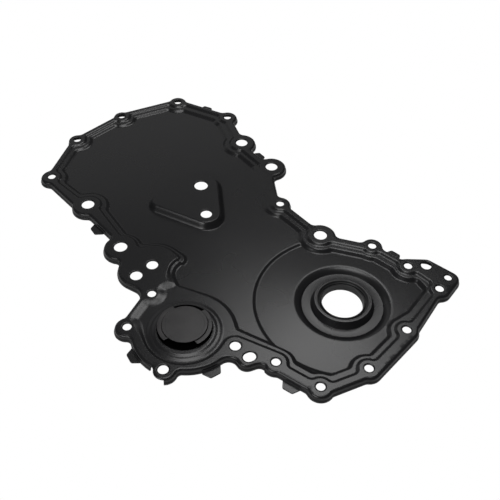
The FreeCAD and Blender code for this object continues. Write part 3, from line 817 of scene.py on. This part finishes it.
def wing_row(builder, inset, z):
    out = []
    for k in range(CAP_POINTS):
        a = 2 * pi * k / CAP_POINTS
        r = wing_radius(a) - inset
        out.append(builder.vert(CAP_AT[0] + r * cos(a), CAP_AT[1] + r * sin(a), z))
    return out


def build_cap():
    """Wings, round top and skirt of the access cap."""
    cap = Builder(CAP_UP)
    cap.strip([wing_row(cap, inset, WING_TOP + z)
               for inset, z in ((0.0, -0.3), (0.1, -0.08), (0.35, 0.0), (4.0, 0.0))])
    top = fillet_path([(ROUND_R, ROUND_TOP - 0.5), (ROUND_R, ROUND_TOP), (19.6, ROUND_TOP),
                       (19.2, ROUND_TOP + 0.15), (CENTRE_R, ROUND_TOP + 0.6)], [0, 0.45, 0.3, 0.3, 0], 5)
    cap.lathe(top, *CAP_AT, CAP_POINTS)
    skirt = fillet_path([(SKIRT_R, 0.0), (SKIRT_R, -1.7), (BEAD_R, -1.7), (BEAD_R, -2.6), (SKIRT_R, -4.2),
                         (SKIRT_R, SKIRT_FOOT), (SKIRT_INNER_R, SKIRT_FOOT),
                         (SKIRT_INNER_R, SKIRT_ROOF), (CENTRE_R, SKIRT_ROOF)],
                        [0, 0.1, 0.2, 0.2, 0.2, 0.5, 0.5, 0.8, 0], 4)
    cap.lathe(skirt[::-1], *CAP_AT, CAP_POINTS)
    add_square_mark(cap)
    return cap.object("round_cap", "access_cap", 38)


def add_square_mark(cap):
    """Small raised square on one wing."""
    rows = []
    for size, z in ((1.0, -0.1), (1.0, 0.35), (0.8, 0.5)):
        row = []
        for u, v in ((-1, -1), (1, -1), (1, 1), (-1, 1)):
            out = MARK_R + u * MARK_HALF * size
            side = v * MARK_HALF * size
            row.append(cap.vert(CAP_AT[0] + out * cos(MARK_TURN) - side * sin(MARK_TURN),
                                CAP_AT[1] + out * sin(MARK_TURN) + side * cos(MARK_TURN), WING_TOP + z))
        rows.append(row)
    cap.strip(rows)
    cap.face(rows[-1])


def build_cap_seal():
    ring_seal = Builder()
    ring_seal.lathe(CAP_SEAL_SECTION, *CAP_AT, CAP_SEAL_POINTS, True)
    return ring_seal.object("cap_seal", "cap_ring", 38)


def build_cap_foot():
    """Sides and underside of the wings, the low wall of the round top, and the dark ring that they stand on.
    The ring is a real flange, but their flat black without sheen is painted shade under the cap's edge.
    """
    foot = Builder(CAP_UP)
    foot.strip([wing_row(foot, 3.4, 0.0), wing_row(foot, 0.0, 0.0), wing_row(foot, 0.0, WING_TOP - 0.3)])
    foot.lathe([(SKIRT_R, 0.0), (WING_R + 0.8, -0.3), (WING_R + 0.8, 0.25), (20.6, 0.4)], *CAP_AT, CAP_POINTS)
    foot.lathe([(ROUND_R, 0.3), (ROUND_R, ROUND_TOP - 0.5)], *CAP_AT, CAP_POINTS)
    return foot.object("cap_foot", "access_cap", 38)


def grey(level, blue=0.0):
    return (level, level, level + blue, 1)


def finish(name, light, dark, rough, rough_span, blotch_scale, bump, bump_scale, metal=0.0, specular=0.5):
    """Material with soft blotches in colour and roughness and a fine grain."""
    material = bpy.data.materials.new(name)
    material.use_nodes = True
    tree = material.node_tree
    tree.nodes.clear()
    out = tree.nodes.new("ShaderNodeOutputMaterial")
    shader = tree.nodes.new("ShaderNodeBsdfPrincipled")
    shader.inputs["Metallic"].default_value = metal
    shader.inputs["Specular IOR Level"].default_value = specular
    coords = tree.nodes.new("ShaderNodeTexCoord")
    blotches = tree.nodes.new("ShaderNodeTexNoise")
    blotches.inputs["Scale"].default_value = blotch_scale
    blotches.inputs["Detail"].default_value = 3.0
    colour = tree.nodes.new("ShaderNodeMix")
    colour.data_type = "RGBA"
    colour.inputs[6].default_value = dark
    colour.inputs[7].default_value = light
    span = tree.nodes.new("ShaderNodeMapRange")
    span.inputs["To Min"].default_value = rough - rough_span
    span.inputs["To Max"].default_value = rough + rough_span
    grain = tree.nodes.new("ShaderNodeTexNoise")
    grain.inputs["Scale"].default_value = bump_scale
    grain.inputs["Detail"].default_value = 2.0
    relief = tree.nodes.new("ShaderNodeBump")
    relief.inputs["Strength"].default_value = bump
    relief.inputs["Distance"].default_value = GRAIN_DEPTH
    link = tree.links.new
    link(coords.outputs["Object"], blotches.inputs["Vector"])
    link(coords.outputs["Object"], grain.inputs["Vector"])
    link(blotches.outputs[0], colour.inputs[0])
    link(colour.outputs[2], shader.inputs["Base Color"])
    link(blotches.outputs[0], span.inputs[0])
    link(span.outputs[0], shader.inputs["Roughness"])
    link(grain.outputs[0], relief.inputs["Height"])
    link(relief.outputs[0], shader.inputs["Normal"])
    link(shader.outputs[0], out.inputs[0])
    return material


def white_for_camera(tree, output_kind, white_kind, other_kind, other_colour, other_strength=None):
    """The camera sees plain white, and all other rays see the other shader."""
    tree.nodes.clear()
    out = tree.nodes.new(output_kind)
    path = tree.nodes.new("ShaderNodeLightPath")
    mix = tree.nodes.new("ShaderNodeMixShader")
    other = tree.nodes.new(other_kind)
    other.inputs[0].default_value = other_colour
    if other_strength is not None:
        other.inputs[1].default_value = other_strength
    white = tree.nodes.new(white_kind)
    white.inputs[0].default_value = grey(1)
    white.inputs[1].default_value = 1.0
    tree.links.new(path.outputs["Is Camera Ray"], mix.inputs[0])
    tree.links.new(other.outputs[0], mix.inputs[1])
    tree.links.new(white.outputs[0], mix.inputs[2])
    tree.links.new(mix.outputs[0], out.inputs[0])


def build_floor():
    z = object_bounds()[0][2] - FLOOR_GAP
    corners = [(x * FLOOR_HALF, y * FLOOR_HALF, z) for x, y in ((-1, -1), (1, -1), (1, 1), (-1, 1))]
    mesh = bpy.data.meshes.new("floor")
    mesh.from_pydata(corners, [], [(0, 1, 2, 3)])
    floor = bpy.data.objects.new("floor", mesh)
    bpy.context.scene.collection.objects.link(floor)
    material = bpy.data.materials.new("floor_white")
    material.use_nodes = True
    white_for_camera(material.node_tree, "ShaderNodeOutputMaterial", "ShaderNodeEmission",
                     "ShaderNodeBsdfDiffuse", grey(FLOOR_SHADE))
    mesh.materials.append(material)


def build_world():
    world = bpy.data.worlds.new("studio")
    bpy.context.scene.world = world
    world.use_nodes = True
    white_for_camera(world.node_tree, "ShaderNodeOutputWorld", "ShaderNodeBackground",
                     "ShaderNodeBackground", grey(1), WORLD_LIGHT)


def add_light(name, place, target, size_x, size_y, power):
    data = bpy.data.lights.new(name, "AREA")
    data.shape = "RECTANGLE"
    data.size = size_x
    data.size_y = size_y
    data.energy = power
    lamp = bpy.data.objects.new(name, data)
    lamp.location = place
    lamp.rotation_euler = (Vector(target) - Vector(place)).to_track_quat("-Z", "Y").to_euler()
    bpy.context.scene.collection.objects.link(lamp)


def add_camera():
    """Camera fitted to the bolt holes of the photograph."""
    right = Vector((0.8815, -0.4719, 0.0141))
    up = Vector((0.3303, 0.6378, 0.6958))
    back = Vector((-0.3374, -0.6087, 0.7181))
    place = Vector((-318.6, -375.7, 576.9)) * MM
    data = bpy.data.cameras.new("camera")
    data.sensor_width = 36.0
    data.lens = 52.2
    data.clip_start = 0.05
    data.clip_end = 20.0
    camera = bpy.data.objects.new("camera", data)
    placed = Matrix((right, up, back)).transposed().to_4x4()
    placed.translation = place
    camera.matrix_world = placed
    bpy.context.scene.collection.objects.link(camera)
    bpy.context.scene.camera = camera


cover_obj = build_cover()
seal_obj = build_seal()
cap_obj = build_cap()
cap_seal_obj = build_cap_seal()
foot_obj = build_cap_foot()

paint = finish("black_paint", grey(0.014, 0.001), grey(0.012, 0.001),
               rough=0.27, rough_span=0.03, blotch_scale=9.0, bump=0.05, bump_scale=1500.0)
rubber = finish("black_rubber", grey(0.034, 0.001), grey(0.022),
                rough=0.38, rough_span=0.05, blotch_scale=60.0, bump=0.1, bump_scale=900.0)
plastic = finish("black_plastic", (0.060, 0.057, 0.058, 1), grey(0.008, 0.001),
                 rough=0.45, rough_span=0.08, blotch_scale=45.0, bump=0.12, bump_scale=2500.0)
# Flat black without any sheen for the cap's foot: painted shade under the cap's edge, not the plastic's own
# colour
painted_shade_black = finish("black_painted_shade", grey(0.0015), grey(0.001),
              rough=0.85, rough_span=0.05, blotch_scale=40.0, bump=0.1, bump_scale=900.0, specular=0.0)
steel = finish("bright_steel", grey(0.55, 0.01), grey(0.42, 0.01),
               rough=0.3, rough_span=0.06, blotch_scale=80.0, bump=0.05, bump_scale=1800.0, metal=1.0)
cover_obj.data.materials.append(paint)
seal_obj.data.materials.append(rubber)
cap_obj.data.materials.append(plastic)
cap_seal_obj.data.materials.append(rubber)
foot_obj.data.materials.append(painted_shade_black)
for name in ("seal_case", "garter_spring"):
    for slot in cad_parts[name].material_slots:
        slot.material = steel

build_floor()
build_world()
add_light("overhead", (0.40, 0.55, 1.14), (0.0, 0.0, 0.0), 0.50, 0.42, 2.7)
add_light("back", (0.1, 2.3, 1.3), (-0.05, 0.3, 0.0), 2.6, 0.9, 2.6)
add_light("side", (-1.2, -0.4, 0.7), (-0.05, 0.1, 0.0), 0.8, 0.5, 5.0)
add_light("top", (-0.10, 0.05, 1.5), (-0.08, 0.12, 0.0), 0.7, 0.7, 6.0)
add_camera()
bpy.context.scene.view_settings.view_transform = "Standard"
